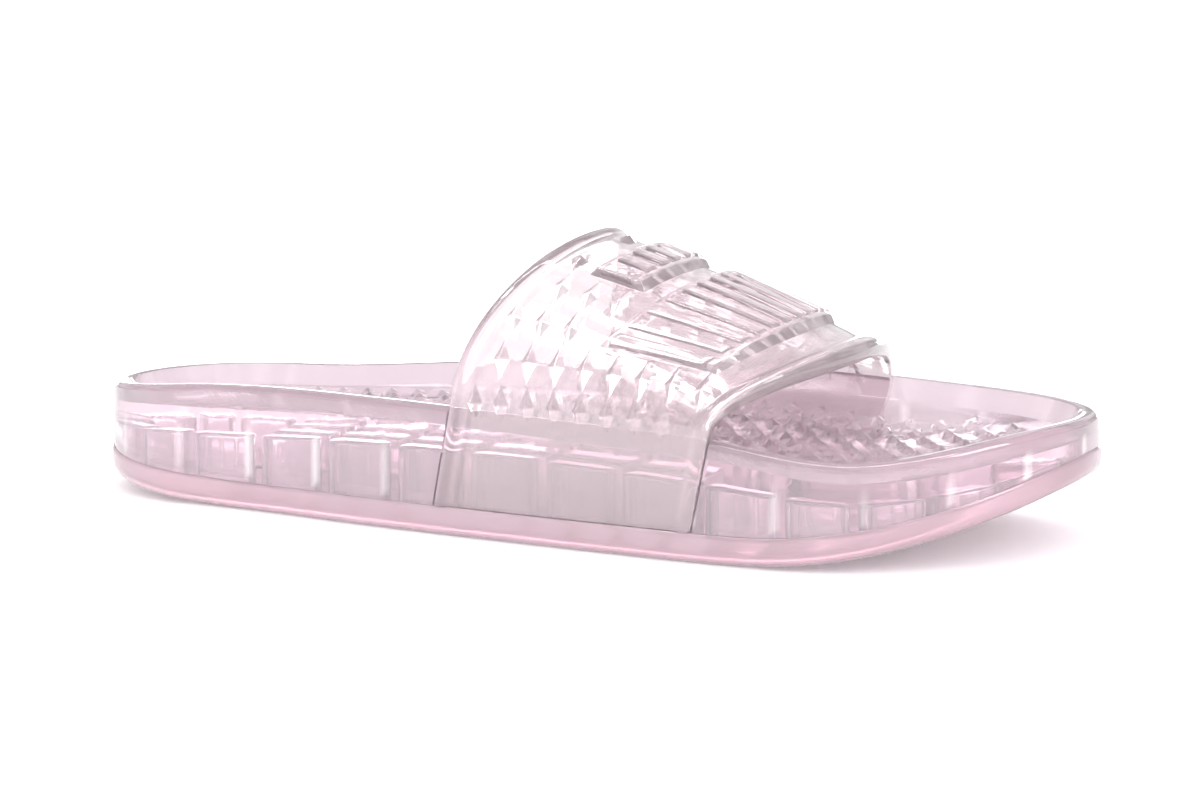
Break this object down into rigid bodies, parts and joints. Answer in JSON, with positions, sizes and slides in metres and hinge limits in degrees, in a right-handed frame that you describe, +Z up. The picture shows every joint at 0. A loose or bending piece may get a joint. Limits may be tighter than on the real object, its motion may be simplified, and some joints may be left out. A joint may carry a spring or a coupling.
{
  "type": "jelly slide sandal",
  "caption": "Translucent moulded slide sandal with a broad studded strap, a recessed footbed, a ribbed hollow midsole and a tinted outsole with toe spring.",
  "frame": {"origin": "middle of the sole's outline box, on the floor plane the sole stands on", "axes": "+X from heel to toe, +Y towards the big-toe side, +Z up"},
  "size_m": [0.2586, 0.0941, 0.0714],
  "materials": {
    "outsole": "glossy, translucent deep pink",
    "midsole": "glossy, translucent pale pink",
    "strap": "glossy, nearly clear pink"
  },
  "bodies": {
    "root": {"outsole": "outsole", "midsole": "midsole", "strap": "strap"}
  },
  "joints": []
}
